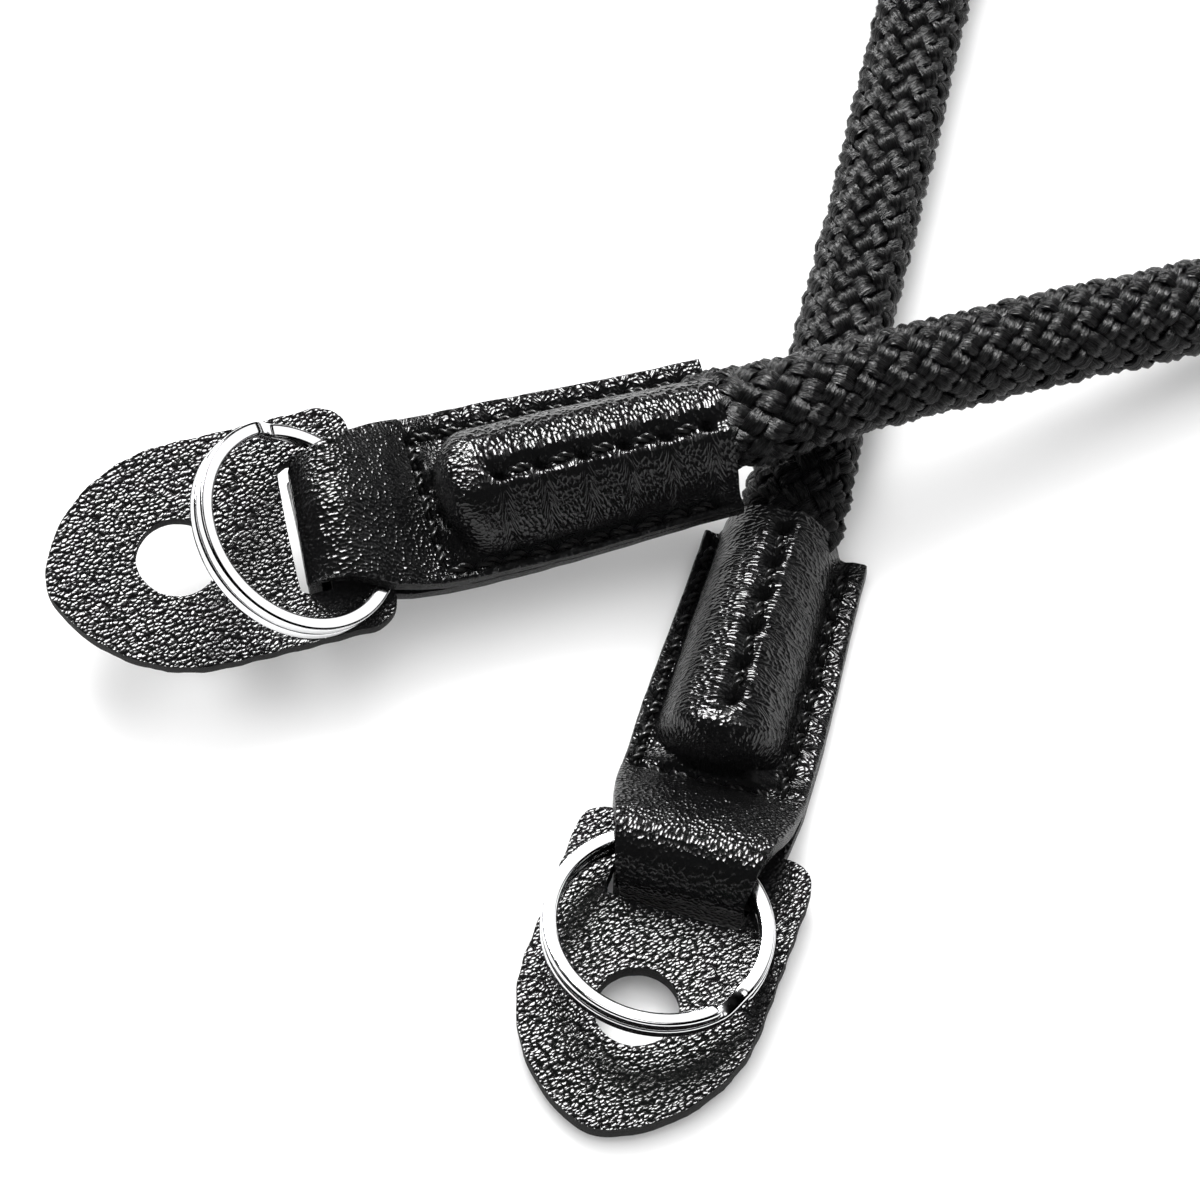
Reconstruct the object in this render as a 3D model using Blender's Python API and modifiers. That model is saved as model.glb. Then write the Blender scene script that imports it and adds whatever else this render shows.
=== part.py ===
"""Rope camera strap: a round braided rope with a leather tab, a leather guard and a
split ring at each end. The two ends lie crossed on a table, and the rest of the rope
lies behind them in a neat coil.

Metres, +Z up. The strap lies on z = 0, with the origin under the middle of its two ends.
"""

from math import cos, pi, radians, sin, sqrt

import bmesh
import bpy
from mathutils import Euler, Matrix, Vector

# Driving dimensions: the rope
ROPE_DIAMETER = 0.0085
ROPE_PRESSED = 0.0050  # thickness of the rope where the tab's leather squeezes it
ROPE_IN_TAB = 0.0225  # length of rope sewn into each tab

# The leather tab, one strip folded at the guard's slot and sewn to itself
TAB_LENGTH = 0.0385  # from the slot to the mouth where the rope comes out
TAB_WIDTH = 0.0164
FOLD_WIDTH = 0.0113
MOUTH_WIDTH = 0.0150
STRIP = 0.0013  # thickness of the strip
LOOP_LENGTH = 0.0108  # from the slot to the seam across the tab
FOLD_BEND = 0.0010  # radius of the strip's first bend, under the slot
LOOP_DROOP = 0.0009  # how much lower the loop is at its long edges
POCKET_WIDTH = 0.0118
POCKET_END = 0.0040  # length over which the pocket rises from the cross seam
MOUTH_SINK = 0.0012  # how much lower the pocket is at the mouth

# The leather guard that keeps the ring off the camera
GUARD_LENGTH = 0.0293
GUARD_WIDTH = 0.0212
GUARD_THICKNESS = 0.0014
GUARD_CORNER = 0.0026
GUARD_TIP = 0.0047  # radius of the rounded point
GUARD_ARCH = 0.0142  # radius of the two arcs that meet at the point
GUARD_HOLE = 0.0073
HOLE_TO_TIP = 0.0117
SLOT_TO_END = 0.0065
SLOT_WIDTH = 0.0026

# The split ring
RING_DIAMETER = 0.0200
RING_WIRE = 0.00105
RING_PLAY = 0.0036  # room in the loop for the ring to lie at a slant

# The rope's coil, its turns stacked on each other
COIL_DIAMETER = 0.0850  # across the middle of the turns
COIL_TURNS = 3
COIL_CENTRE = (0.0012, 0.1330)

# Clearance between pieces that touch
GAP = 0.0003

# Where the middle of the two ends is moved from, so that it lies over the origin
STRAP_PLACE = (0.0125, 0.0180, 0.0)

# How each end lies: the underside of the tab at the guard's slot, its heading towards
# the rope, its rise towards the rope, and its roll, which lifts its left edge.
END_A_PLACE = (-0.02635, 0.00120, 0.00730)
END_A_HEADING, END_A_RISE, END_A_ROLL = radians(15.1), radians(2.5), radians(10)
END_B_PLACE = (0.00670, -0.03260, 0.00002)
END_B_HEADING, END_B_RISE, END_B_ROLL = radians(75.0), radians(0), radians(0)

# How each guard leaves its tab: rise of its tip, roll, turn in the loop, and how far its
# tip curls up or down
GUARD_A_RISE, GUARD_A_ROLL, GUARD_A_TURN = radians(2), radians(3), radians(1)
GUARD_B_RISE, GUARD_B_ROLL, GUARD_B_TURN = radians(-1), radians(0), radians(-4)
GUARD_A_CURL, GUARD_B_CURL = 0.0010, -0.0009

# How each ring lies in its tab: the point of it that is deepest in the loop, from the
# slot, and the slopes of its plane along the tab and across it
RING_A_REST, RING_A_SLOPES = (0.00761, -0.0022, 0.00429), (-0.460, 0.050)
RING_B_REST, RING_B_SLOPES = (0.00425, 0.0005, 0.00554), (-0.070, 0.105)
RING_A_TURN, RING_B_TURN = radians(100), radians(205)

# The ropes' routes from the mouths of the tabs to the coil, before STRAP_PLACE
ROUTE_A = (
    (0.0159, 0.0113, 0.0137),
    (0.0205, 0.0131, 0.0135),
    (0.0267, 0.0156, 0.0128),
    (0.0340, 0.0186, 0.0115),
    (0.0420, 0.0219, 0.0100),
    (0.0525, 0.0262, 0.0078),
    (0.0620, 0.0306, 0.0058),
    (0.0702, 0.0370, 0.0047),
    (0.0745, 0.0460, 0.0045),
    (0.0752, 0.0570, 0.0045),
    (0.0738, 0.0680, 0.0048),
    (0.0690, 0.0780, 0.0060),
    (0.0605, 0.0856, 0.0084),
    (0.0500, 0.0893, 0.0118),
    (0.0390, 0.0901, 0.0166),
    (0.0281, 0.0902, 0.0218),
)
ROUTE_B = (
    (0.0183, 0.0105, 0.0044),
    (0.0202, 0.0180, 0.0043),
    (0.0221, 0.0260, 0.0043),
    (0.0239, 0.0340, 0.0043),
    (0.0262, 0.0440, 0.0043),
    (0.0286, 0.0550, 0.0043),
    (0.0310, 0.0660, 0.0043),
    (0.0332, 0.0770, 0.0043),
    (0.0352, 0.0870, 0.0043),
    (0.0372, 0.0976, 0.0043),
)

# Derived sizes of the tab, in its own frame: x from the slot to the mouth, y across,
# z up from the underside of the lower layer
LOWER = STRIP / 2
UPPER = STRIP * 1.5 + GAP
ROPE_AXIS = STRIP + GAP + ROPE_PRESSED / 2
POCKET_RISE = ROPE_PRESSED + GAP + MOUTH_SINK
SLOT_HEIGHT = STRIP + 3 * GAP + GUARD_THICKNESS / 2
LOOP_HEIGHT = STRIP * 1.5 + GUARD_THICKNESS + 2 * RING_WIRE + RING_PLAY
SLOT_LENGTH = FOLD_WIDTH + 4 * GAP
POCKET_START = LOOP_LENGTH + 2 * GAP

# The tab's outline: share of the tab's length, and the share by which its width has
# gone from the width at the fold to the full width
OUTLINE = (
    (0.00, 0.00),
    (0.08, 0.02),
    (0.13, 0.36),
    (0.18, 0.76),
    (0.23, 0.95),
    (0.32, 1.00),
)

# The loop's side view: share of the loop's length, share of the loop's height
LOOP_PROFILE = (
    (0.00, 0.55),
    (0.04, 0.72),
    (0.12, 0.88),
    (0.24, 0.98),
    (0.38, 1.00),
    (0.52, 0.96),
    (0.66, 0.87),
    (0.79, 0.70),
    (0.90, 0.46),
)

# Columns of points across half of the tab, as shares of its half width
ACROSS = (0.00, 0.21, 0.40, 0.54, 0.63, 0.69, 0.75, 1.00)

LEATHER = {"color": (0.022, 0.021, 0.021, 1), "roughness": 0.42, "metallic": 0.0}
GUARD_LEATHER = {"color": (0.030, 0.029, 0.029, 1), "roughness": 0.38, "metallic": 0.0}
CHROME = {"color": (0.80, 0.80, 0.80, 1), "roughness": 0.10, "metallic": 1.0}
ROPE = {"color": (0.012, 0.012, 0.013, 1), "roughness": 0.60, "metallic": 0.0}


def clear_scene():
    for thing in list(bpy.context.scene.objects):
        bpy.data.objects.remove(thing, do_unlink=True)


def make_collection(name):
    collection = bpy.data.collections.new(name)
    bpy.context.scene.collection.children.link(collection)
    return collection


def make_material(name, finish):
    material = bpy.data.materials.new(name)
    material.use_nodes = True
    shader = material.node_tree.nodes["Principled BSDF"]
    shader.inputs["Base Color"].default_value = finish["color"]
    shader.inputs["Roughness"].default_value = finish["roughness"]
    shader.inputs["Metallic"].default_value = finish["metallic"]
    return material


def mesh_from(bm, name):
    bmesh.ops.recalc_face_normals(bm, faces=bm.faces)
    mesh = bpy.data.meshes.new(name)
    bm.to_mesh(mesh)
    bm.free()
    mesh.shade_smooth()
    mesh.set_sharp_from_angle(angle=radians(50))
    return mesh


def place_node(name, data, material, parent, collection, matrix=None):
    node = bpy.data.objects.new(name, data)
    data.materials.append(material)
    collection.objects.link(node)
    node.parent = parent
    if matrix is not None:
        node.matrix_local = matrix
    return node


def smooth(share):
    share = min(max(share, 0.0), 1.0)
    return share * share * (3 - 2 * share)


def look_up(table, share):
    """The second column of a table at a share along its first column."""
    for (x0, y0), (x1, y1) in zip(table, table[1:]):
        if share <= x1:
            return y0 + (y1 - y0) * (share - x0) / (x1 - x0)
    return table[-1][1]


def curve_through(points, spacing):
    """Points at even spacing on a smooth curve through the given points."""
    ends = [points[0] * 2 - points[1]] + list(points) + [points[-1] * 2 - points[-2]]
    fine = []
    for before, start, end, after in zip(ends, ends[1:], ends[2:], ends[3:]):
        for step in range(20):
            t = step / 20
            fine.append(
                0.5
                * (
                    start * 2
                    + (end - before) * t
                    + (before * 2 - start * 5 + end * 4 - after) * t**2
                    + (start * 3 - before - end * 3 + after) * t**3
                )
            )
    fine.append(points[-1].copy())
    length = sum((b - a).length for a, b in zip(fine, fine[1:]))
    count = max(2, round(length / spacing))
    even = [fine[0]]
    gone, wanted = 0.0, length / count
    for a, b in zip(fine, fine[1:]):
        step = (b - a).length
        while gone + step >= wanted - 1e-9 and len(even) < count:
            even.append(a.lerp(b, (wanted - gone) / step))
            wanted += length / count
        gone += step
    even.append(fine[-1])
    return even


def add_loft(bm, sections):
    """A closed body through closed sections that have the same number of points."""
    rings = [[bm.verts.new(point) for point in section] for section in sections]
    for ring, following in zip(rings, rings[1:]):
        for i in range(len(ring)):
            j = (i + 1) % len(ring)
            bm.faces.new((ring[i], ring[j], following[j], following[i]))
    bm.faces.new(rings[0])
    bm.faces.new(reversed(rings[-1]))


def tab_half_width(x):
    """Half the tab's width at x, narrow at the fold and a little narrower at the mouth."""
    flare = FOLD_WIDTH + (TAB_WIDTH - FOLD_WIDTH) * look_up(OUTLINE, x / TAB_LENGTH)
    taper = smooth((x / TAB_LENGTH - 0.45) / 0.55) * (TAB_WIDTH - MOUTH_WIDTH)
    return (flare - taper) / 2


def pocket_height(x, y, half_width):
    """Height of the rope's pocket over the flange at x and y: round sides, a sloping end."""
    rise = smooth((x - POCKET_START) / POCKET_END)
    across = min(abs(y) / half_width, 1.0)
    sink = MOUTH_SINK * smooth((x / TAB_LENGTH - 0.6) / 0.4)
    return (POCKET_RISE - sink) * sqrt(rise) * sqrt(1 - across**2.6)


def loop_droop(x, height, share):
    """How far the loop hangs lower near its long edges, behind its crown."""
    behind = smooth((x / LOOP_LENGTH - 0.35) / 0.25)
    over_seam = smooth((height - UPPER) / (LOOP_HEIGHT - UPPER) * 2)
    return LOOP_DROOP * behind * over_seam * abs(share) ** 4


def tab_path():
    """The strip's middle in side view: the lower layer, the fold through the slot, the
    loop over the ring, and the upper layer. Each row is x, z and the strip's normal."""
    lower = [
        Vector((TAB_LENGTH * share, LOWER))
        for share in (1.0, 0.75, 0.50, 0.32, 0.23, 0.18, 0.13, 0.08)
    ]
    turn = [
        Vector((FOLD_BEND * (1 - sin(a)), LOWER + FOLD_BEND * (1 - cos(a))))
        for a in (0, pi / 6, pi / 3, pi / 2)
    ]
    slot = [Vector((0, SLOT_HEIGHT)), Vector((0, SLOT_HEIGHT + GUARD_THICKNESS / 2))]
    crown = [Vector((LOOP_LENGTH * s, LOOP_HEIGHT * h)) for s, h in LOOP_PROFILE]
    seam = [Vector((LOOP_LENGTH * 0.98, UPPER + GAP / 3)), Vector((POCKET_START, UPPER))]
    rising = [
        Vector((POCKET_START + POCKET_END * share, UPPER))
        for share in (0.08, 0.20, 0.35, 0.55, 0.78, 1.0)
    ]
    rest = TAB_LENGTH - POCKET_START - POCKET_END
    upper = [
        Vector((TAB_LENGTH - rest * share, UPPER))
        for share in (0.84, 0.67, 0.50, 0.33, 0.16, 0.0)
    ]
    points = lower + turn + slot + crown + seam + rising + upper
    rows = []
    for i, point in enumerate(points):
        before, after = points[max(i - 1, 0)], points[min(i + 1, len(points) - 1)]
        run = (after - before).normalized()
        rows.append((point, Vector((run.y, -run.x))))
    crown_from = len(lower) + len(turn) + len(slot)
    return rows, crown_from, crown_from + len(crown) + len(seam)


def make_tab():
    """One folded strip as a loft: each section has an outer row and an inner row."""
    rows, crown_from, pocket_from = tab_path()
    columns = [-share for share in reversed(ACROSS[1:])] + list(ACROSS)
    sections = []
    for i, (middle, normal) in enumerate(rows):
        half = tab_half_width(max(middle.x, 0.0))
        outer, inner = [], []
        for share in columns:
            y = half * share
            lift_out = lift_in = 0.0
            if i >= pocket_from:
                lift_out = pocket_height(middle.x, y, POCKET_WIDTH / 2)
                lift_in = pocket_height(middle.x, y, POCKET_WIDTH / 2 - STRIP)
            elif i >= crown_from:
                lift_out = lift_in = -loop_droop(middle.x, middle.y, share)
            out = middle - normal * STRIP / 2
            into = middle + normal * STRIP / 2
            outer.append((out.x, y, out.y + lift_out))
            inner.append((into.x, y, into.y + lift_in))
        sections.append(outer + inner[::-1])
    bm = bmesh.new()
    add_loft(bm, sections)
    return mesh_from(bm, "tab")


def guard_half_width(u):
    """Half the guard's width at u from its straight end: round corners, straight
    sides, and two arcs that meet at a rounded point."""
    half = GUARD_WIDTH / 2
    if u < GUARD_CORNER:
        return half - GUARD_CORNER + sqrt(max(GUARD_CORNER**2 - (GUARD_CORNER - u) ** 2, 0))
    arc_centre = half - GUARD_ARCH
    reach = sqrt((GUARD_ARCH - GUARD_TIP) ** 2 - arc_centre**2)
    tip_centre = GUARD_LENGTH - GUARD_TIP
    arch_start = tip_centre - reach
    if u < arch_start:
        return half
    join = tip_centre + GUARD_TIP * reach / (GUARD_ARCH - GUARD_TIP)
    if u < join:
        return arc_centre + sqrt(GUARD_ARCH**2 - (u - arch_start) ** 2)
    return sqrt(max(GUARD_TIP**2 - (u - tip_centre) ** 2, 0))


def make_guard(name, curl, cutters):
    """A leather plate in its own frame: the slot's middle at the origin, the tip at -x."""
    corner = [GUARD_CORNER * share for share in (0.0, 0.08, 0.27, 0.58)]
    body = [GUARD_CORNER + (GUARD_LENGTH - GUARD_CORNER) * i / 14 for i in range(13)]
    tip = [GUARD_LENGTH * share for share in (0.955, 0.975, 0.989, 0.9975)]
    sections = []
    for u in corner + body + tip:
        x = SLOT_TO_END - u
        half = max(guard_half_width(u), GAP)
        bend = curl * max(-x / (GUARD_LENGTH - SLOT_TO_END), 0.0) ** 2
        row = [(x, half * (i / 4 - 1), bend) for i in range(9)]
        top = [(a, b, c + GUARD_THICKNESS / 2) for a, b, c in row]
        bottom = [(a, b, c - GUARD_THICKNESS / 2) for a, b, c in row]
        sections.append(top + bottom[::-1])
    bm = bmesh.new()
    add_loft(bm, sections)
    mesh = mesh_from(bm, name)
    plate = bpy.data.objects.new(name + "_plate", mesh)
    bpy.context.scene.collection.objects.link(plate)
    for cutter in cutters:
        cut = plate.modifiers.new(cutter.name, "BOOLEAN")
        cut.operation = "DIFFERENCE"
        cut.solver = "EXACT"
        cut.object = cutter
    bpy.context.view_layer.update()
    seen = plate.evaluated_get(bpy.context.evaluated_depsgraph_get())
    cut_mesh = bpy.data.meshes.new_from_object(seen)
    cut_mesh.name = name
    cut_mesh.shade_smooth()
    cut_mesh.set_sharp_from_angle(angle=radians(50))
    bpy.data.objects.remove(plate, do_unlink=True)
    return cut_mesh


def make_cutters(collection):
    """The tool for the lens-side hole and the one for the slot, for both guards."""
    depth = GUARD_THICKNESS * 6
    bm = bmesh.new()
    bmesh.ops.create_cone(
        bm, cap_ends=True, segments=32, depth=depth,
        radius1=GUARD_HOLE / 2, radius2=GUARD_HOLE / 2,
    )
    middle = SLOT_TO_END + HOLE_TO_TIP - GUARD_LENGTH
    bmesh.ops.translate(bm, verts=bm.verts, vec=(middle, 0, 0))
    hole = bpy.data.objects.new("hole_cutter", mesh_from(bm, "hole_cutter"))
    bm = bmesh.new()
    bmesh.ops.create_cube(bm, size=1)
    bmesh.ops.scale(bm, verts=bm.verts, vec=(SLOT_WIDTH, SLOT_LENGTH, depth))
    slot = bpy.data.objects.new("slot_cutter", mesh_from(bm, "slot_cutter"))
    for cutter in (hole, slot):
        collection.objects.link(cutter)
        cutter.hide_render = True
        cutter.display_type = "WIRE"
    return hole, slot


def make_tube(name, points, radii, sides, material, parent, collection):
    curve = bpy.data.curves.new(name, "CURVE")
    curve.dimensions = "3D"
    curve.bevel_depth = 1.0
    curve.bevel_resolution = sides
    curve.use_fill_caps = True
    spline = curve.splines.new("POLY")
    spline.points.add(len(points) - 1)
    for place, point, radius in zip(spline.points, points, radii):
        place.co = (*point, 1)
        place.radius = radius
    return place_node(name, curve, material, parent, collection)


def ring_points():
    """Two turns of wire side by side, joined by a jog where one crosses to the other."""
    radius = (RING_DIAMETER - RING_WIRE) / 2
    offset = (RING_WIRE + GAP / 3) / 2
    jog = radians(28)
    count = 72
    points = []
    for i in range(count + 1):
        angle = 4 * pi * i / count * 0.985
        level = 2 * smooth((angle - 2 * pi + jog / 2) / jog) - 1
        place = Vector((radius * cos(angle), radius * sin(angle), offset * level))
        points.append(place)
    return points


def ring_matrix(rest, slopes, turn):
    """A frame whose z axis is normal to the ring's plane, its origin at the ring's centre."""
    normal = Vector((-slopes[0], -slopes[1], 1)).normalized()
    along = Vector((1, 0, slopes[0]))
    along = (along - normal * along.dot(normal)).normalized()
    across = normal.cross(along)
    axes = Matrix((along, across, normal)).transposed().to_4x4()
    centre = Vector(rest) - along * (RING_DIAMETER - RING_WIRE) / 2
    return Matrix.Translation(centre) @ axes @ Matrix.Rotation(turn, 4, "Z")


def make_end(name, place, turn, parent, collection):
    """The empty that carries an end's tab, guard and ring."""
    end = bpy.data.objects.new(name, None)
    collection.objects.link(end)
    end.parent = parent
    heading, rise, roll = turn
    spin = Matrix.Rotation(heading, 4, "Z") @ Matrix.Rotation(-rise, 4, "Y")
    end.matrix_local = Matrix.Translation(place) @ spin @ Matrix.Rotation(roll, 4, "X")
    return end


def rope_lead(end_matrix, route):
    """A lead's points and radii: squeezed inside the tab, round once it is out."""
    inside = [
        end_matrix @ Vector((TAB_LENGTH - ROPE_IN_TAB * share, 0, ROPE_AXIS))
        for share in (1.0, 0.8, 0.6, 0.4, 0.2, 0.0)
    ]
    points = curve_through(inside + [Vector(point) for point in route], ROPE_DIAMETER / 2)
    radii, gone = [], 0.0
    for before, point in zip([points[0]] + points, points):
        gone += (point - before).length
        swell = smooth((gone - ROPE_IN_TAB) / ROPE_DIAMETER * 1.5 - 0.75)
        radii.append((ROPE_PRESSED + (ROPE_DIAMETER - ROPE_PRESSED) * swell) / 2)
    return points, radii


def make_coil(material, parent, collection):
    """The stacked turns as one turned ring with round upper and lower edges."""
    height = ROPE_DIAMETER * COIL_TURNS
    outer = (COIL_DIAMETER + ROPE_DIAMETER) / 2
    inner = (COIL_DIAMETER - ROPE_DIAMETER) / 2
    edge = ROPE_DIAMETER * 0.4
    corners = (
        (outer - edge, height - edge, 90, 0),
        (outer - edge, edge, 0, -90),
        (inner + edge, edge, -90, -180),
        (inner + edge, height - edge, -180, -270),
    )
    profile = []
    for x, z, start, stop in corners:
        for step in range(4):
            angle = radians(start + (stop - start) * step / 3)
            profile.append((x + edge * cos(angle), 0, z + edge * sin(angle)))
    mesh = bpy.data.meshes.new("rope_coil")
    edges = [(i, (i + 1) % len(profile)) for i in range(len(profile))]
    mesh.from_pydata(profile, edges, [])
    coil = place_node("rope_coil", mesh, material, parent, collection)
    coil.location = (*COIL_CENTRE, 0)
    screw = coil.modifiers.new("turn", "SCREW")
    screw.steps = screw.render_steps = 48
    screw.use_merge_vertices = True
    screw.merge_threshold = 0.00001
    return coil


def build():
    clear_scene()
    strap = make_collection("rope_camera_strap")
    tools = make_collection("cutters")
    leather = make_material("tab_leather", LEATHER)
    guard_leather = make_material("guard_leather", GUARD_LEATHER)
    chrome = make_material("ring_chrome", CHROME)
    rope = make_material("braided_rope", ROPE)

    root = bpy.data.objects.new("strap", None)
    strap.objects.link(root)
    root.location = STRAP_PLACE
    hole_and_slot = make_cutters(tools)
    tab = make_tab()

    ends = (
        ("end_a", END_A_PLACE, (END_A_HEADING, END_A_RISE, END_A_ROLL),
         (GUARD_A_ROLL, GUARD_A_RISE, GUARD_A_TURN), GUARD_A_CURL,
         (RING_A_REST, RING_A_SLOPES, RING_A_TURN), ROUTE_A),
        ("end_b", END_B_PLACE, (END_B_HEADING, END_B_RISE, END_B_ROLL),
         (GUARD_B_ROLL, GUARD_B_RISE, GUARD_B_TURN), GUARD_B_CURL,
         (RING_B_REST, RING_B_SLOPES, RING_B_TURN), ROUTE_B),
    )
    for name, place, turn, guard_turn, curl, ring, route in ends:
        end = make_end(name, place, turn, root, strap)
        place_node(name + "_tab", tab.copy(), leather, end, strap)
        guard_turn = Euler(guard_turn).to_matrix().to_4x4()
        guard_place = Matrix.Translation((0, 0, SLOT_HEIGHT)) @ guard_turn
        guard = make_guard(name + "_guard", curl, hole_and_slot)
        place_node(name + "_guard", guard, guard_leather, end, strap, guard_place)
        wire = ring_points()
        ring_node = make_tube(
            name + "_ring", wire, [RING_WIRE / 2] * len(wire), 2, chrome, end, strap
        )
        ring_node.matrix_local = ring_matrix(*ring)
        points, radii = rope_lead(end.matrix_local, route)
        make_tube("rope_lead_" + name[-1], points, radii, 3, rope, root, strap)
    make_coil(rope, root, strap)


build()
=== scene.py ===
"""Looks for the rope camera strap: a braided rope between two stitched leather tabs, each
with a leather guard and a chrome split ring, lying on a white table in a studio."""

from math import cos, pi, radians, sin, sqrt, tau

import bpy
import numpy as np
from mathutils import Euler, Matrix, Vector, noise


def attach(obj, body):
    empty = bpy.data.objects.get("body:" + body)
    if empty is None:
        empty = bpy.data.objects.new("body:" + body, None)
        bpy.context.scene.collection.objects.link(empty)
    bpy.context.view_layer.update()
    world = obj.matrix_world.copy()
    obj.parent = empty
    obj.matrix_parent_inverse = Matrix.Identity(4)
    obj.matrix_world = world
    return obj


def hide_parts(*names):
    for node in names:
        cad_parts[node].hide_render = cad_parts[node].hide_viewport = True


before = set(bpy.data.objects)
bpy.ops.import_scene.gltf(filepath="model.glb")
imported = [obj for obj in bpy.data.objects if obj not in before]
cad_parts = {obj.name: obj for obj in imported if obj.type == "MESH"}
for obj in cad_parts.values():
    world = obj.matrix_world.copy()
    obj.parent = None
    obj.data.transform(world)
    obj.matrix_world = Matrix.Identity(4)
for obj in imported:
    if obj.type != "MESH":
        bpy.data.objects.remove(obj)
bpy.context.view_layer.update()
scene = bpy.context.scene
MM = 0.001

# Camera: a long lens that looks down at the crossed ends, as in the photograph.
centre = Vector((12.5, 18.0, 0.0)) * MM
look_down, camera_distance = radians(57), 0.5
lens = bpy.data.cameras.new("camera")
lens.lens = 168
lens.sensor_width = 36
camera = bpy.data.objects.new("camera", lens)
scene.collection.objects.link(camera)
camera.location = centre + Vector((0, -cos(look_down), sin(look_down))) * camera_distance
camera.rotation_euler = (pi / 2 - look_down, 0, 0)
scene.camera = camera

# The rope's line: from inside one tab, out through its mouth, round the coil and back
# into the other tab. The leads keep the points of the model's solids, in metres. The
# coil's turns are stacked, and each climbs in one long hump to the next level.
rope_width = 8.5 * MM
coil_middle = Vector((1.2, 133.0, 0)) * MM + centre
coil_radius = 42.5 * MM
coil_turned, coil_heading = 1000, 12.4
climb_from, climb_over = 285, 47
lead_a = (
    (0.0159, 0.0113, 0.0137),
    (0.0205, 0.0131, 0.0135),
    (0.0267, 0.0156, 0.0128),
    (0.0340, 0.0186, 0.0115),
    (0.0420, 0.0219, 0.0100),
    (0.0525, 0.0262, 0.0078),
    (0.0620, 0.0306, 0.0058),
    (0.0702, 0.0370, 0.0047),
    (0.0745, 0.0460, 0.0045),
    (0.0752, 0.0570, 0.0045),
    (0.0738, 0.0680, 0.0048),
    (0.0690, 0.0780, 0.0060),
    (0.0605, 0.0856, 0.0084),
    (0.0500, 0.0893, 0.0118),
    (0.0390, 0.0901, 0.0166),
    (0.0281, 0.0902, 0.0218),
    (0.0180, 0.0903, 0.0236),
    (0.0090, 0.0904, 0.0228),
)
lead_b = (
    (0.0183, 0.0105, 0.0044),
    (0.0202, 0.0180, 0.0043),
    (0.0221, 0.0260, 0.0043),
    (0.0239, 0.0340, 0.0043),
    (0.0262, 0.0440, 0.0043),
    (0.0286, 0.0550, 0.0043),
    (0.0310, 0.0660, 0.0043),
    (0.0332, 0.0770, 0.0043),
    (0.0352, 0.0870, 0.0043),
    (0.0372, 0.0976, 0.0043),
    (0.0397, 0.1100, 0.0043),
)


def ease(share):
    """A smooth step from 0 to 1, for a number or an array."""
    share = np.clip(share, 0.0, 1.0)
    return share * share * (3 - 2 * share)


def coil_point(turned):
    """The coil's line after turning so many degrees from where lead b meets it."""
    angle = radians(turned - coil_heading)
    level = 0.5 + sum(ease((turned - full - climb_from) / climb_over) for full in (0, 360, 720))
    place = Vector((cos(angle), sin(angle), 0)) * coil_radius + coil_middle
    place.z = level * rope_width
    return place


def curve_through(points, spacing):
    """Points at even spacing on a smooth curve through the given points."""
    ends = [points[0] * 2 - points[1]] + list(points) + [points[-1] * 2 - points[-2]]
    fine, steps = [], 24
    for before, start, end, after in zip(ends, ends[1:], ends[2:], ends[3:]):
        cubic = before * -1 + start * 3 - end * 3 + after
        square = before * 2 - start * 5 + end * 4 - after
        for t in np.arange(steps) / steps:
            fine.append((cubic * t**3 + square * t**2 + (end - before) * t) / 2 + start)
    fine.append(points[-1])
    fine = np.array([point[:] for point in fine])
    along = np.concatenate([[0], np.cumsum(np.linalg.norm(np.diff(fine, axis=0), axis=1))])
    even = np.arange(0, along[-1], spacing)
    return np.stack([np.interp(even, along, fine[:, i]) for i in range(3)], axis=1)


def end_frame(place, heading, rise, roll):
    """The frame of a strap end: x from the guard's slot to the rope, z off the tab."""
    turn = Matrix.Rotation(radians(heading), 4, "Z") @ Matrix.Rotation(radians(-rise), 4, "Y")
    return Matrix.Translation(Vector(place) + centre) @ turn @ Matrix.Rotation(radians(roll), 4, "X")


end_a = end_frame((-0.02635, 0.00120, 0.00730), 15.1, 2.5, 10)
end_b = end_frame((0.00670, -0.03260, 0.00002), 75, 0, 0)
sewn_in = (0.0160, 0.0205, 0.0250, 0.0295, 0.0340, 0.0385)
in_tab_a, in_tab_b = (
    [end @ Vector((x, 0, 0.0041)) for x in sewn_in] for end in (end_a, end_b)
)
line = in_tab_a + [Vector(point) + centre for point in lead_a]
line += [coil_point(turned) for turned in range(coil_turned, -1, -8)]
line += [Vector(point) + centre for point in reversed(lead_b)] + in_tab_b[::-1]
level_height = 1.5 * MM
rows_per_level = 2
row_height = level_height / rows_per_level
rope_line = curve_through(line, row_height)
rope_length = (len(rope_line) - 1) * row_height

# Frames carried along the line without twist: the rope's direction, and a side.
rope_along = np.gradient(rope_line, axis=0)
rope_along /= np.linalg.norm(rope_along, axis=1)[:, None]
rope_side = np.empty_like(rope_along)
side = np.cross((0, 0, 1), rope_along[0])
for i, along in enumerate(rope_along):
    side = side - along * side.dot(along)
    side /= np.linalg.norm(side)
    rope_side[i] = side

held_length, let_go_early, let_go_over = 0.0225, 0.002, 0.014
flatter, wider = 0.40, 0.14


def press(places, row):
    """Squeezes the rope's surface where a tab's leather holds it: flatter and wider."""
    middle = rope_line[row]
    out = places - middle
    from_a = row * row_height - held_length
    from_b = rope_length - row * row_height - held_length
    for end, gone in ((end_a, from_a), (end_b, from_b)):
        normal = np.array(end.to_3x3().col[2])
        across = np.cross(normal, rope_along[row])
        across /= np.linalg.norm(across, axis=1)[:, None]
        held = 1 - ease((gone + let_go_early) / let_go_over)
        high = (out * normal).sum(axis=1)
        wide = (out * across).sum(axis=1)
        out = out - normal * (high * held * flatter)[:, None]
        out = out + across * (wide * held * wider)[:, None]
    return middle + out


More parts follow.
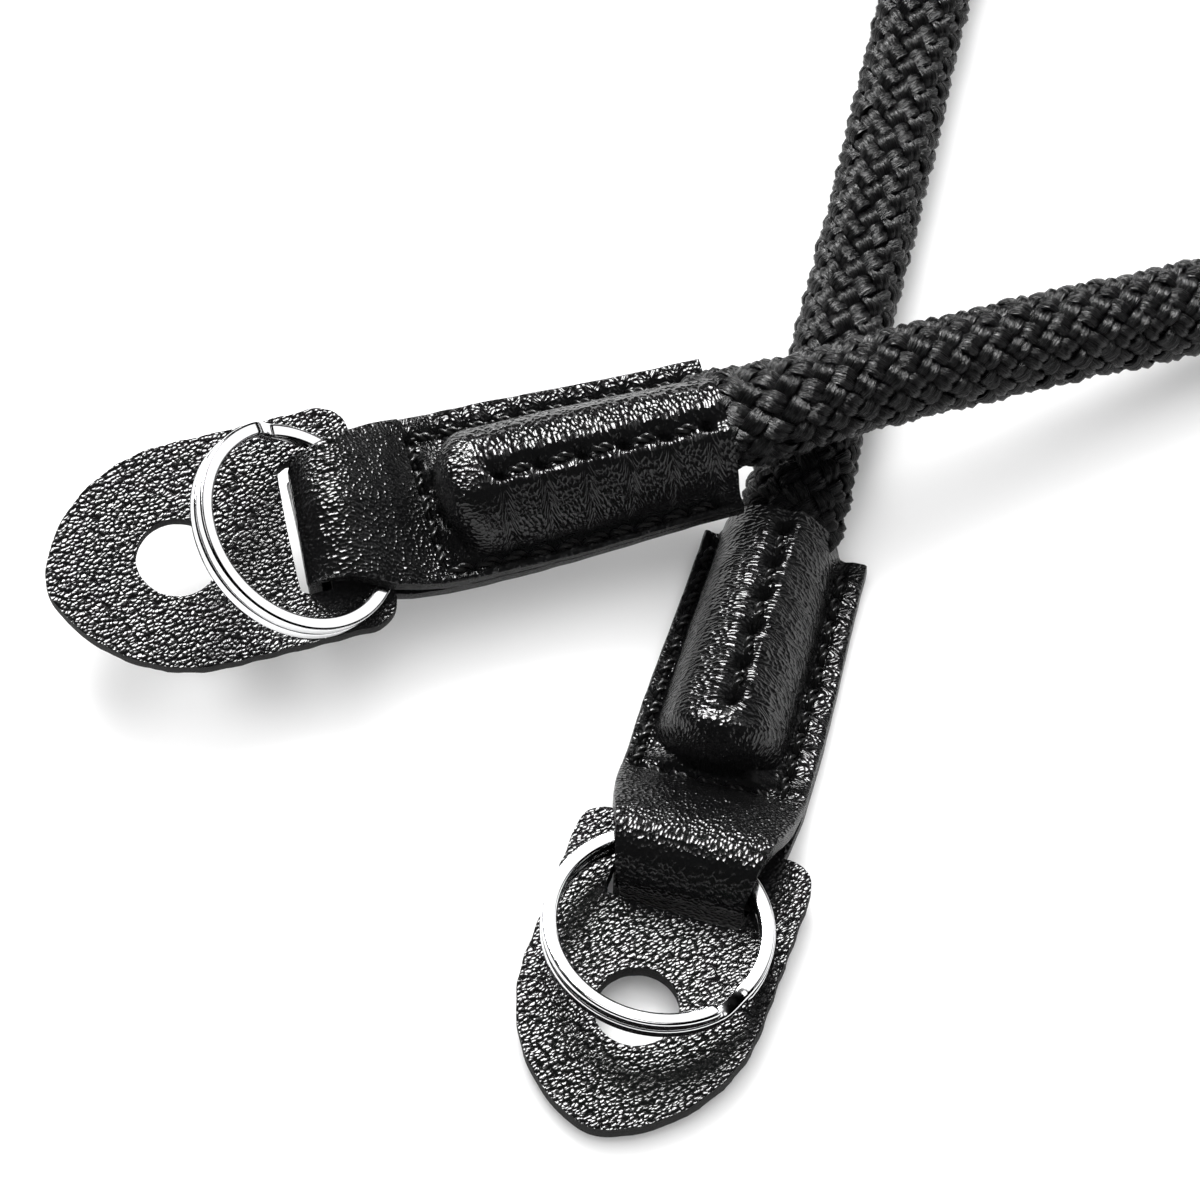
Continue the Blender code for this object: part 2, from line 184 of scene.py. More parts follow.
def mesh_object(name, points, faces, material=None, smooth=True):
    """An object at the origin with its place in its mesh."""
    mesh = bpy.data.meshes.new(name)
    mesh.from_pydata(np.asarray(points).tolist(), [], faces)
    if smooth:
        mesh.shade_smooth()
    if material:
        mesh.materials.append(material)
    thing = bpy.data.objects.new(name, mesh)
    scene.collection.objects.link(thing)
    return thing


def tube_faces(rows, columns):
    """Quads round a tube of rows, each with the same number of points, and its two ends."""
    faces = []
    for i in range(rows - 1):
        for j in range(columns):
            k = (j + 1) % columns
            faces.append((i * columns + j, i * columns + k, (i + 1) * columns + k, (i + 1) * columns + j))
    faces.append(tuple(range(columns))[::-1])
    faces.append(tuple(range((rows - 1) * columns, rows * columns)))
    return faces


def add_node(tree, kind, inputs=None, **settings):
    """A node with its settings, and its inputs set to values or linked to sockets."""
    made = tree.nodes.new(kind)
    for name, value in settings.items():
        setattr(made, name, value)
    for key, value in (inputs or {}).items():
        if isinstance(value, bpy.types.NodeSocket):
            tree.links.new(value, made.inputs[key])
        else:
            made.inputs[key].default_value = value
    return made


def new_material(name, **values):
    """A material and its tree, with the Principled shader's sockets set."""
    material = bpy.data.materials.new(name)
    material.use_nodes = True
    shader = material.node_tree.nodes["Principled BSDF"]
    for key, value in values.items():
        shader.inputs[key.replace("_", " ")].default_value = value
    return material, material.node_tree, shader


def bump_up(tree, shader, height, distance, strength=1.0):
    """A bump from a height in a material's tree, on its shader."""
    bump = add_node(tree, "ShaderNodeBump", {"Height": height, "Strength": strength, "Distance": distance})
    tree.links.new(bump.outputs["Normal"], shader.inputs["Normal"])


def new_node_group(name, inputs, output):
    """A Geometry Nodes tree with its named inputs and its output, and the inputs' sockets."""
    tree = bpy.data.node_groups.new(name, "GeometryNodeTree")
    for label, kind in inputs:
        tree.interface.new_socket(label, in_out="INPUT", socket_type="NodeSocket" + kind)
    tree.interface.new_socket(output, in_out="OUTPUT", socket_type="NodeSocketGeometry")
    return tree, tree.nodes.new("NodeGroupInput").outputs


def stored_mark(tree, name, data_type):
    """The socket of an attribute stored on the points."""
    return add_node(tree, "GeometryNodeInputNamedAttribute", {"Name": name}, data_type=data_type).outputs[0]


# The rope: a braid of black filament yarn over a dark core. Ten strands run each way, each
# of two yarns side by side, and pass over one and under one, so that the outside is a
# chequer of short bulging floats which lean one way and then the other.
core_black = new_material(
    "rope_core", Base_Color=(0.003, 0.003, 0.0032, 1), Roughness=0.9, Specular_IOR_Level=0.1
)[0]
core_sides, core_radius = 16, 3.62 * MM
angles = np.arange(core_sides) * tau / core_sides
core_rows = np.arange(0, len(rope_line), 2)
rope_up = np.cross(rope_along, rope_side)
core_points = np.concatenate([
    press(
        rope_line[row]
        + core_radius * (np.outer(np.cos(angles), rope_side[row]) + np.outer(np.sin(angles), rope_up[row])),
        np.full(core_sides, row),
    )
    for row in core_rows
])
rope_core = mesh_object("rope_core", core_points, tube_faces(len(core_rows), core_sides), core_black)

braid_black, tree, shader = new_material(
    "braided_rope", Base_Color=(0.003, 0.003, 0.0032, 1), Roughness=0.3, Specular_IOR_Level=0.32
)
uv = add_node(tree, "ShaderNodeUVMap", uv_map="UVMap").outputs["UV"]
strand = add_node(tree, "ShaderNodeAttribute", attribute_name="strand").outputs["Fac"]
strand_at = add_node(tree, "ShaderNodeCombineXYZ", {"Z": strand})
far = add_node(tree, "ShaderNodeVectorMath", {0: strand_at.outputs[0], 1: (0, 0, 97)}, operation="MULTIPLY")
fibre_at = add_node(tree, "ShaderNodeVectorMath", {0: uv, 1: (15.0, 1.1, 1)}, operation="MULTIPLY")
fibre_at = add_node(
    tree, "ShaderNodeVectorMath", {0: fibre_at.outputs[0], 1: far.outputs[0]}, operation="ADD"
)
fibres = add_node(
    tree, "ShaderNodeTexNoise", {"Vector": fibre_at.outputs[0], "Scale": 1.0, "Detail": 3.0, "Roughness": 0.7}
)
bump_up(tree, shader, fibres.outputs["Fac"], 0.00030)
gloss = add_node(
    tree, "ShaderNodeMapRange",
    {"Value": fibres.outputs["Fac"], "From Min": 0.3, "From Max": 0.7, "To Min": 0.36, "To Max": 0.17},
)
tree.links.new(gloss.outputs["Result"], shader.inputs["Roughness"])
strands_each_way = 10
braid_radius, yarn_reach, yarn_height = 3.98 * MM, 1.02 * MM, 0.40 * MM
float_reach, float_low, float_arch = 0.80, 3.60 * MM, 0.40 * MM


def braid_float(name, lean, steps, profile):
    """One float: two yarns side by side, arched over a crossing strand, ends diving."""
    slant = np.arctan(tau * braid_radius / (2 * strands_each_way) / level_height)
    crossing = level_height / cos(slant)
    points, marks = [], []
    for t in np.linspace(-1, 1, steps + 1):
        d = t * float_reach * crossing
        lift = float_low + float_arch * cos(pi * d / crossing)
        half = yarn_reach * (1 - 0.16 * t**4)
        for w, high in profile:
            arc = lean * (d * sin(slant)) + half * w * cos(slant)
            rise = d * cos(slant) - lean * half * w * sin(slant)
            phi = arc / braid_radius
            radius = lift + high * yarn_height * (1 - 0.25 * t * t)
            points.append((radius * cos(phi), radius * sin(phi), rise))
            marks.append((0.5 + 0.5 * w, 0.5 + 0.5 * t))
    mesh = bpy.data.meshes.new(name)
    mesh.from_pydata(points, [], tube_faces(steps + 1, len(profile)))
    mesh.shade_smooth()
    layer = mesh.uv_layers.new(name="UVMap")
    for loop in mesh.loops:
        layer.data[loop.index].uv = marks[loop.vertex_index]
    return bpy.data.objects.new(name, mesh)


def braid_nodes():
    """Ten floats round each level of the line, leaning right and left by turns."""
    tree, given = new_node_group("braid", (
        ("Levels", "Geometry"), ("Right Float", "Object"), ("Left Float", "Object"),
        ("Floats Round", "Int"), ("Unevenness", "Float"), ("Seed", "Int"), ("Yarn", "Material"),
    ), "Braid")
    doubled = add_node(
        tree, "GeometryNodeDuplicateElements",
        {"Geometry": given["Levels"], "Amount": given["Floats Round"]}, domain="POINT",
    )
    number = doubled.outputs["Duplicate Index"]
    along = stored_mark(tree, "along", "FLOAT_VECTOR")
    side = stored_mark(tree, "side", "FLOAT_VECTOR")
    odd = stored_mark(tree, "odd", "FLOAT")
    facing = add_node(
        tree, "FunctionNodeAxesToRotation",
        {"Primary Axis": along, "Secondary Axis": side}, primary_axis="Z", secondary_axis="X",
    )
    moved = add_node(tree, "ShaderNodeMath", {0: odd, 1: 0.5, 2: number}, operation="MULTIPLY_ADD")
    share = add_node(
        tree, "ShaderNodeMath", {0: moved.outputs[0], 1: given["Floats Round"]}, operation="DIVIDE"
    )
    wobble = add_node(
        tree, "FunctionNodeRandomValue", {2: -0.045, 3: 0.045, "Seed": given["Seed"]}, data_type="FLOAT"
    )
    uneven = add_node(
        tree, "ShaderNodeMath", {0: wobble.outputs[1], 1: given["Unevenness"]}, operation="MULTIPLY"
    )
    angle = add_node(
        tree, "ShaderNodeMath", {0: share.outputs[0], 1: tau, 2: uneven.outputs[0]}, operation="MULTIPLY_ADD"
    )
    about = add_node(tree, "FunctionNodeAxisAngleToRotation", {"Axis": (0, 0, 1), "Angle": angle.outputs[0]})
    turned = add_node(
        tree, "FunctionNodeRotateRotation",
        {"Rotation": facing.outputs[0], "Rotate By": about.outputs[0]}, rotation_space="LOCAL",
    )
    both = tree.nodes.new("GeometryNodeJoinGeometry")
    for name in ("Left Float", "Right Float"):
        shape = add_node(tree, "GeometryNodeObjectInfo", {"Object": given[name], "As Instance": True})
        tree.links.new(shape.outputs["Geometry"], both.inputs[0])
    size = add_node(
        tree, "FunctionNodeRandomValue",
        {0: (0.975, 0.93, 0.93), 1: (1.035, 1.07, 1.07), "Seed": given["Seed"]}, data_type="FLOAT_VECTOR",
    )
    placed = add_node(
        tree, "GeometryNodeInstanceOnPoints",
        {"Points": doubled.outputs["Geometry"], "Instance": both.outputs[0], "Pick Instance": True,
         "Instance Index": odd, "Rotation": turned.outputs[0], "Scale": size.outputs[0]},
    )
    own = add_node(
        tree, "FunctionNodeRandomValue", {2: 0.0, 3: 1.0, "Seed": given["Seed"]}, data_type="FLOAT"
    )
    stored = add_node(
        tree, "GeometryNodeStoreNamedAttribute",
        {"Geometry": placed.outputs["Instances"], "Name": "strand", "Value": own.outputs[1]},
        data_type="FLOAT", domain="INSTANCE",
    )
    real = add_node(tree, "GeometryNodeRealizeInstances", {"Geometry": stored.outputs["Geometry"]})
    made = add_node(
        tree, "GeometryNodeSetMaterial", {"Geometry": real.outputs["Geometry"], "Material": given["Yarn"]}
    )
    tree.links.new(made.outputs["Geometry"], tree.nodes.new("NodeGroupOutput").inputs[0])
    return tree


def grown(base, tree, **values):
    """The plain mesh that a tree makes from a base object, as a new object."""
    modifier = base.modifiers.new(tree.name, "NODES")
    modifier.node_group = tree
    for item in tree.interface.items_tree:
        if item.item_type == "SOCKET" and item.in_out == "INPUT" and item.name.replace(" ", "_") in values:
            modifier[item.identifier] = values[item.name.replace(" ", "_")]
    bpy.context.view_layer.update()
    seen = base.evaluated_get(bpy.context.evaluated_depsgraph_get())
    mesh = bpy.data.meshes.new_from_object(seen)
    mesh.name = base.name
    base.modifiers.clear()
    base.data = mesh
    return base


fine_profile = (
    (-1.0, 0.0), (-0.86, 0.60), (-0.5, 1.0), (-0.14, 0.66), (0.0, 0.30), (0.14, 0.66),
    (0.5, 1.0), (0.86, 0.60), (1.0, 0.0), (0.5, -0.4), (-0.5, -0.4),
)[::-1]
plain_profile = ((-1.0, 0.0), (-0.55, 1.0), (0.0, 0.45), (0.55, 1.0), (1.0, 0.0))[::-1]
braid = braid_nodes()
fine_floats = [
    braid_float("float_right", 1, 6, fine_profile), braid_float("float_left", -1, 6, fine_profile),
]
plain_floats = [
    braid_float("plain_right", 1, 4, plain_profile), braid_float("plain_left", -1, 4, plain_profile),
]
for shape in fine_floats + plain_floats:
    scene.collection.objects.link(shape)
    shape.hide_render = True

last_level = (len(rope_line) - 1) // rows_per_level
coil_from, coil_to = 117, last_level - 82
coil_half = coil_from + (coil_to - coil_from) // 2
braid_from, braid_to = 14, last_level - 13
spare_rows, batch = 8, 4000
pieces_of_rope = []
for name, first, last, shapes, seed in (
    ("braid_lead_a", braid_from, coil_from, fine_floats, 3),
    ("braid_coil_low", coil_from, coil_half, plain_floats, 5),
    ("braid_coil_high", coil_half, coil_to, plain_floats, 6),
    ("braid_lead_b", coil_to, braid_to, fine_floats, 7),
):
    levels = np.arange(first, last)
    rows = levels * rows_per_level
    picks = mesh_object(name, rope_line[rows], [], smooth=False)
    for mark, values in (("along", rope_along[rows]), ("side", rope_side[rows])):
        picks.data.attributes.new(mark, "FLOAT_VECTOR", "POINT").data.foreach_set("vector", values.ravel())
    picks.data.attributes.new("odd", "FLOAT", "POINT").data.foreach_set("value", (levels % 2).astype(float))
    made = grown(
        picks, braid, Right_Float=shapes[0], Left_Float=shapes[1], Floats_Round=strands_each_way,
        Unevenness=1.0, Seed=seed, Yarn=braid_black,
    )
    count = len(made.data.vertices)
    places = np.empty(count * 3)
    made.data.vertices.foreach_get("co", places)
    places = places.reshape(-1, 3)
    if name.startswith("braid_lead"):
        near = np.empty(count, dtype=int)
        from_row = max(rows[0] - spare_rows, 0)
        window = rope_line[from_row:rows[-1] + spare_rows + 1]
        for start in range(0, count, batch):
            apart = ((places[start:start + batch, None] - window[None]) ** 2).sum(axis=2)
            near[start:start + batch] = apart.argmin(axis=1) + from_row
        made.data.vertices.foreach_set("co", press(places, near).ravel())
        made.data.update()
    made.data.shade_smooth()
    pieces_of_rope.append(made)
for shape in fine_floats + plain_floats:
    bpy.data.objects.remove(shape)

for piece in [rope_core] + pieces_of_rope:
    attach(piece, "root")
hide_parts("rope_lead_a", "rope_lead_b", "rope_coil")

# The tabs: at each end one strip of black grained leather, passed through the guard's
# slot, folded over the ring and sewn to itself round its rim and across, so that the
# rope's end sits in a pocket. All in millimetres, in the frame of the strap's end.
tab_length, tab_width, mouth_width = 38.5, 16.4, 15.0
strip, upper_layer, sample = 1.3, 2.25, 0.2
pocket_half, pocket_high, flange_high = 5.75, 8.6, 2.9
seam_pitch, seam_stitches, rim_pitch, rim_line = 3.75, 5, 2.45, 6.5
rim_round, rim_drop, pocket_skin, seam_blend = 0.32, 0.22, 1.15, 0.7
skins_apart, tabs_apart = 40.0, 31.0
width_at = (0.0, 2.0, 6.0, 10.0, 13.0, 16.0)
half_widths = (5.65, 5.85, 6.75, 7.75, 8.10, 8.20)


def tab_side_view(loop_height, cross_seam):
    """The strip's middle in side view, from the mouth under the ring and back over it."""
    lower = [
        (tab_length * share, strip / 2) for share in (1.0, 0.75, 0.50, 0.32, 0.23, 0.18, 0.13, 0.08)
    ]
    turn = [(1 - sin(a), strip / 2 + 1 - cos(a)) for a in (0, pi / 6, pi / 3, pi / 2)]
    slot = [(0, 2.9), (0, 3.6)]
    profile = (
        (-0.01, 0.45), (0.01, 0.66), (0.07, 0.86), (0.15, 0.97), (0.25, 1.00), (0.37, 0.92),
        (0.49, 0.78), (0.61, 0.61), (0.73, 0.43), (0.84, 0.23), (0.93, 0.08),
    )
    crown = [(cross_seam * x, upper_layer + (loop_height - upper_layer) * high) for x, high in profile]
    flat = [(cross_seam + more, upper_layer) for more in (0, 1, 2, 4, 9, 14, 20)]
    flat.append((tab_length, upper_layer))
    points = [Vector((x, 0, z)) for x, z in lower + turn + slot + crown + flat]
    fine = curve_through(points, sample)
    top_from = int(np.argmax((fine[:, 2] > 4) & (fine[:, 0] < 1)))
    seam_from = int(np.argmax((np.arange(len(fine)) > top_from) & (fine[:, 0] > cross_seam - seam_blend)))
    keep = [i for i in range(len(fine)) if fine[i, 0] < 4 or i > top_from or i % 4 == 0]
    return fine, keep, top_from, seam_from


def stitch_rows(pocket_side, seam_side, cross_seam):
    """Each stitch's place on the tab, the way it runs and its kind, all seen from above."""
    rows = []
    for i in range(11):
        for side in (-1, 1):
            x = cross_seam + 1.45 + rim_pitch * i
            if x > tab_length - 1.3:
                continue
            y = side * (rim_line + 0.05 - 0.5 * ease((x - 22) / 16)) + pocket_side
            rows.append((x, y, -0.22 * side, "rim"))
    for i in range(5):
        rows.append((cross_seam, (i - 2) * rim_pitch + pocket_side, pi / 2 - 0.2, "cross"))
    for i in range(seam_stitches):
        rows.append((19.6 + seam_pitch * i, seam_side, 0.16, "seam"))
    return rows


def dent(x, y, at, turn, long, wide, depth):
    """A soft oval hollow in a surface."""
    u = (x - at[0]) * cos(turn) + (y - at[1]) * sin(turn)
    v = (y - at[1]) * cos(turn) - (x - at[0]) * sin(turn)
    return depth * np.exp(-((u / long) ** 2) - (v / wide) ** 2)


def flange_height(x):
    """The two sewn layers' height at the rim, thinner towards the mouth."""
    return flange_high - 0.35 * ease((x - 11) / 3) - 0.75 * ease((x - 13) / 14)


def leather_height(x, y, pocket_side, seam_side, pocket_end, cross_seam):
    """The outer surface over the sewn part of the tab: flange, pocket, seams and dents."""
    flange = flange_height(x)
    half = pocket_half - 0.35 * ease((x - 24) / 14)
    high = pocket_high - 0.7 * ease((x / tab_length - 0.6) / 0.4) - flange
    nose = 2.6 * np.clip(np.abs(y - pocket_side) / pocket_half, 0, 1) ** 2
    begun = np.clip((x - cross_seam - 0.9 - nose) / pocket_end, 0, 1)
    swell = np.sqrt(np.clip(1 - (1 - begun) ** 3, 0, 1))
    half = half * (0.90 + 0.10 * np.sqrt(swell))
    across = np.clip(np.abs(y - pocket_side) / half, 0, 1)
    z = flange + high * swell * (1 - across**2.6) ** (0.60 + 0.25 * (1 - swell))
    # The seam pulls a valley along the pocket, with a low swell on either side of it.
    seam_on = ease((x - 16.2) / 1.6)
    z = z - 0.28 * seam_on * np.exp(-(((y - seam_side) / 0.75) ** 2))
    z = z + 0.18 * seam_on * np.exp(-(((np.abs(y - seam_side) - 1.5) / 0.8) ** 2))
    # The stitches of the rim and of the seam across press grooves.
    off = np.abs(y - pocket_side) - (rim_line - 0.5 * ease((x - 22) / 16))
    z = z - 0.30 * np.exp(-((off / 0.45) ** 2)) * ease((x - cross_seam + 0.5) / 1.0)
    z = z - 0.38 * np.exp(-(((x - cross_seam) / 0.5) ** 2)) * (np.abs(y - pocket_side) < 6.8)
    # The seam's holes are deep, and the leather bulges beside each one.
    for i in range(seam_stitches + 1):
        at = (17.75 + seam_pitch * i, seam_side)
        z = z - dent(x, y, at, -0.60, 0.66, 0.36, 1.25)
        z = z + dent(x, y, (at[0] + 1.5, at[1] - 1.15), -0.3, 1.0, 0.7, 0.34)
        z = z + dent(x, y, (at[0] - 0.3, at[1] + 1.5), -0.3, 1.2, 0.8, 0.14)
    # Two bulges stand at the pocket's foot, and a small hole lies between two stitches.
    for more, at_y, high in ((1.25, pocket_side + 3.3, 0.75), (1.6, pocket_side - 3.5, 0.95)):
        z = z + dent(x, y, (cross_seam + more, at_y), 0, 0.8, 1.4, high)
    for at_x, at_y, turn, kind in stitch_rows(pocket_side, seam_side, cross_seam):
        if kind == "rim":
            side = 1 if at_y > pocket_side else -1
            z = z - dent(x, y, (at_x + 1.22, at_y), -0.4 * side, 0.55, 0.38, 0.40)
            z = z + dent(x, y, (at_x, at_y + 0.85 * side), 0, 0.8, 0.45, 0.07)
        elif kind == "cross":
            z = z - dent(x, y, (at_x, at_y + 1.22), 0, 0.42, 0.55, 0.45)
    return z


def make_tab(name, end, loop_height, loop_lean, loop_askew, sewn, seed):
    """One folded strip: closed sections across it, each an outer and an inner row."""
    pocket_side, _, _, cross_seam = sewn
    fine, keep, top_from, seam_from = tab_side_view(loop_height, cross_seam)
    run = np.gradient(fine, axis=0)
    run /= np.linalg.norm(run, axis=1)[:, None]
    arc = np.arange(len(fine)) * sample
    slot_arc = arc[int(np.argmin(fine[:, 0] + np.abs(fine[:, 2] - 2.9)))]
    crest = np.linspace(cross_seam, tab_length, 240)
    climb = leather_height(crest, np.full_like(crest, pocket_side + 1.5), *sewn)
    longer = np.append(0, np.cumsum(np.hypot(np.diff(crest), np.diff(climb)) - np.diff(crest)))
    t = np.linspace(-1, 1, 61)
    inner_share = 0.62 * t + 0.38 * np.sin(pi * t / 2)
    flange_share = np.array([0.14, 0.28, 0.42, 0.56, 0.70, 0.82, 0.90, 0.96, 1.0])
    noise.seed_set(seed)
    points, marks = [], []
    for i in keep:
        x, z = max(fine[i, 0], 0.0), fine[i, 2]
        half = np.interp(abs(arc[i] - slot_arc), width_at, half_widths)
        half -= ease((x / tab_length - 0.45) / 0.55) * (tab_width - mouth_width) / 2
        half += 0.09 * noise.noise(Vector((x * 0.45, seed, 0))) * ease((x - 9) / 4)
        body = pocket_half / half_widths[-1] * half
        flange = body + (half - body) * flange_share
        y = np.concatenate([-flange[::-1], inner_share * body, flange])
        round_off = np.clip((np.abs(y) - (half - rim_round)) / rim_round, 0, 1) ** 2 * rim_drop
        normal = np.array([run[i, 2], -run[i, 0]])
        free = (1 - ease(x / cross_seam)) * ease((z - strip / 2) / 1.0)
        askew = loop_askew * free * (y + half)
        y = y * np.where(y > 0, 1 - 0.11 * free, 1)
        sewn_high = flange_height(x)
        edge = ease((np.abs(y) - 5.0) / 1.2)
        if i >= seam_from:
            blend = ease((x - (cross_seam - seam_blend)) / seam_blend)
            plain = z + strip / 2
            top = leather_height(np.full_like(y, x), y, *sewn)
            out_z = plain + (top - plain) * blend - round_off
            in_z = np.maximum(out_z - pocket_skin, sewn_high * 0.5 + 0.02 + round_off * 0.4)
            out_x, in_x = np.full_like(y, fine[i, 0]), np.full_like(y, fine[i, 0])
        else:
            droop = 0
            if i >= top_from:
                droop = 0.5 * ease((x / cross_seam - 0.35) / 0.25) * ease((z - upper_layer) / 3.4)
                droop = droop * (np.abs(y) / half) ** 4
                lean = np.where(y > 0, loop_lean - loop_askew * 3.2, loop_lean)
                droop = droop - lean * y * max(z - upper_layer, 0) / (loop_height - upper_layer)
            thin = strip - round_off
            out_x, out_z = fine[i, 0] + askew - normal[0] * thin / 2, z - normal[1] * thin / 2 - droop
            in_x, in_z = fine[i, 0] + askew + normal[0] * thin / 2, z + normal[1] * thin / 2 - droop
            if i < top_from and z < 0.9 and x > 1.2:
                in_z = in_z + (min(sewn_high * 0.5 - 0.02, 1.3) - in_z) * edge * ease((x - 10) / 2)
        for px, pz, skin in ((out_x, out_z, 1), (in_x, in_z, 0)):
            px, pz = np.broadcast_to(px, y.shape), np.broadcast_to(pz, y.shape)
            row = []
            for j in range(len(y)):
                spot = Vector((arc[i] * 0.55, y[j] * 0.55, skin * 9.0))
                crease = noise.noise(spot) * 0.10 + noise.noise(spot * 3.1) * 0.012
                row.append((px[j], y[j], pz[j] + crease * (0.6 if i < top_from else 1.0)))
            points.append(row)
            across = np.append(0, np.cumsum(np.hypot(np.diff(y), np.diff(pz))))
            across = across - across[len(y) // 2] + skin * skins_apart
            along = arc[i] + seed * tabs_apart + (np.interp(x, crest, longer) if i >= seam_from else 0)
            marks.append([(along, far) for far in across])
    sections = [points[k] + points[k + 1][::-1] for k in range(0, len(points), 2)]
    uvs = [marks[k] + marks[k + 1][::-1] for k in range(0, len(marks), 2)]
    flat = np.array(sections).reshape(-1, 3)
    flat[:, 2] = np.maximum(flat[:, 2], 0.0)
    turn = np.array(end.to_3x3())
    world = flat * MM @ turn.T + np.array(end.translation)
    world[:, 2] = np.maximum(world[:, 2], 0.00002)
    tab = mesh_object(name, world, tube_faces(len(sections), len(sections[0])), tab_leather)
    tab.data.set_sharp_from_angle(angle=radians(62))
    layer = tab.data.uv_layers.new(name="grain")
    uvs = np.array(uvs).reshape(-1, 2)
    corners = np.empty(len(tab.data.loops), dtype=int)
    tab.data.loops.foreach_get("vertex_index", corners)
    layer.data.foreach_set("uv", uvs[corners].ravel())
    creases = ease((flat[:, 0] - 14) / 3) * ease((flat[:, 2] - 2.6) / 1.2)
    tab.data.attributes.new("creased", "FLOAT", "POINT").data.foreach_set("value", creases)
    return tab


def pebble_leather(tree, shader, distance, rolling, depth):
    """Glossy domed pebbles with sharp valleys between them, as a bump, from a cell distance."""
    squared = add_node(tree, "ShaderNodeMath", {0: distance, 1: distance}, operation="MULTIPLY")
    swell = add_node(tree, "ShaderNodeMath", {0: rolling, 1: 0.5}, operation="MULTIPLY")
    height = add_node(
        tree, "ShaderNodeMath", {0: squared.outputs[0], 1: -2.2, 2: swell.outputs[0]},
        operation="MULTIPLY_ADD",
    )
    bump_up(tree, shader, height.outputs[0], depth)


tab_leather, tree, shader = new_material(
    "tab_leather", Base_Color=(0.004, 0.004, 0.0042, 1), Roughness=0.20, Specular_IOR_Level=0.30
)
on_skin = add_node(tree, "ShaderNodeUVMap", uv_map="grain").outputs["UV"]
creased = add_node(tree, "ShaderNodeAttribute", attribute_name="creased").outputs["Fac"]
warp = add_node(tree, "ShaderNodeTexNoise", {"Vector": on_skin, "Scale": 1.3, "Detail": 1.0})
distances = []
for scale in ((2.5, 2.9, 1), (3.1, 1.7, 1)):
    spread = add_node(tree, "ShaderNodeVectorMath", {0: on_skin, 1: scale}, operation="MULTIPLY")
    bent = add_node(
        tree, "ShaderNodeVectorMath", {0: warp.outputs["Color"], 1: (0.7, 0.7, 0), 2: spread.outputs[0]},
        operation="MULTIPLY_ADD",
    )
    cells = add_node(
        tree, "ShaderNodeTexVoronoi", {"Vector": bent.outputs[0], "Scale": 1.0},
        voronoi_dimensions="2D", feature="F1",
    )
    distances.append(cells.outputs["Distance"])
distance = add_node(tree, "ShaderNodeMix", {0: creased, 2: distances[0], 3: distances[1]}, data_type="FLOAT")
rolling = add_node(tree, "ShaderNodeTexNoise", {"Vector": on_skin, "Scale": 0.9, "Detail": 1.0})
pebble_leather(tree, shader, distance.outputs[0], rolling.outputs["Fac"], 0.000062)

# How each tab is sewn: how far the pocket and its seam lie off the middle, how long the
# pocket's round end is, and where the seam across the tab runs.
sewn_a = (-0.5, -1.6, 2.2, 11.3)
sewn_b = (0.5, -0.2, 2.2, 12.3)
tab_a = make_tab("tab_a", end_a, 7.0, 0.20, 0.08, sewn_a, 1)
tab_b = make_tab("tab_b", end_b, 8.3, 0.03, 0.0, sewn_b, 4)
for tab, node in ((tab_a, "end_a_tab"), (tab_b, "end_b_tab")):
    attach(tab, "root")
    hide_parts(node)

# The stitches: black two-ply thread, waxed and glossy, sewn by hand round the rim, across
# the tab and once through leather and rope. Each stitch dives into a hole at both ends.
thread_black, tree, shader = new_material(
    "thread_black", Base_Color=(0.005, 0.005, 0.005, 1), Roughness=0.30, Specular_IOR_Level=0.4
)
at = add_node(tree, "ShaderNodeTexCoord").outputs["Object"]
hairs = add_node(tree, "ShaderNodeTexNoise", {"Vector": at, "Scale": 9000.0, "Detail": 2.0})
bump_up(tree, shader, hairs.outputs["Fac"], 0.00008, strength=0.6)
ply_radius, ply_from_middle, ply_twist, probe = 0.235, 0.21, 2.1, 0.3


def ply_stitch(name, long, sink):
    """One stitch of two twisted plies along x, arched, its ends sunk below the leather."""
    steps, around, arch = 14, 6, 0.16
    points, faces = [], []
    for ply in (0, pi):
        start = len(points)
        for i in range(steps + 1):
            t = 2 * i / steps - 1
            lay = ply + tau * t * long / 2 / ply_twist
            rise = arch - (sink + arch) * abs(t) ** 3.2
            middle = Vector((t * long / 2, ply_from_middle * cos(lay), ply_from_middle * sin(lay) + rise))
            for j in range(around):
                a = tau * j / around
                points.append((middle + Vector((0, ply_radius * cos(a), ply_radius * sin(a)))) * MM)
        faces += [tuple(start + k for k in face) for face in tube_faces(steps + 1, around)]
    mesh = bpy.data.meshes.new(name)
    mesh.from_pydata(points, [], faces)
    mesh.shade_smooth()
    return bpy.data.objects.new(name, mesh)


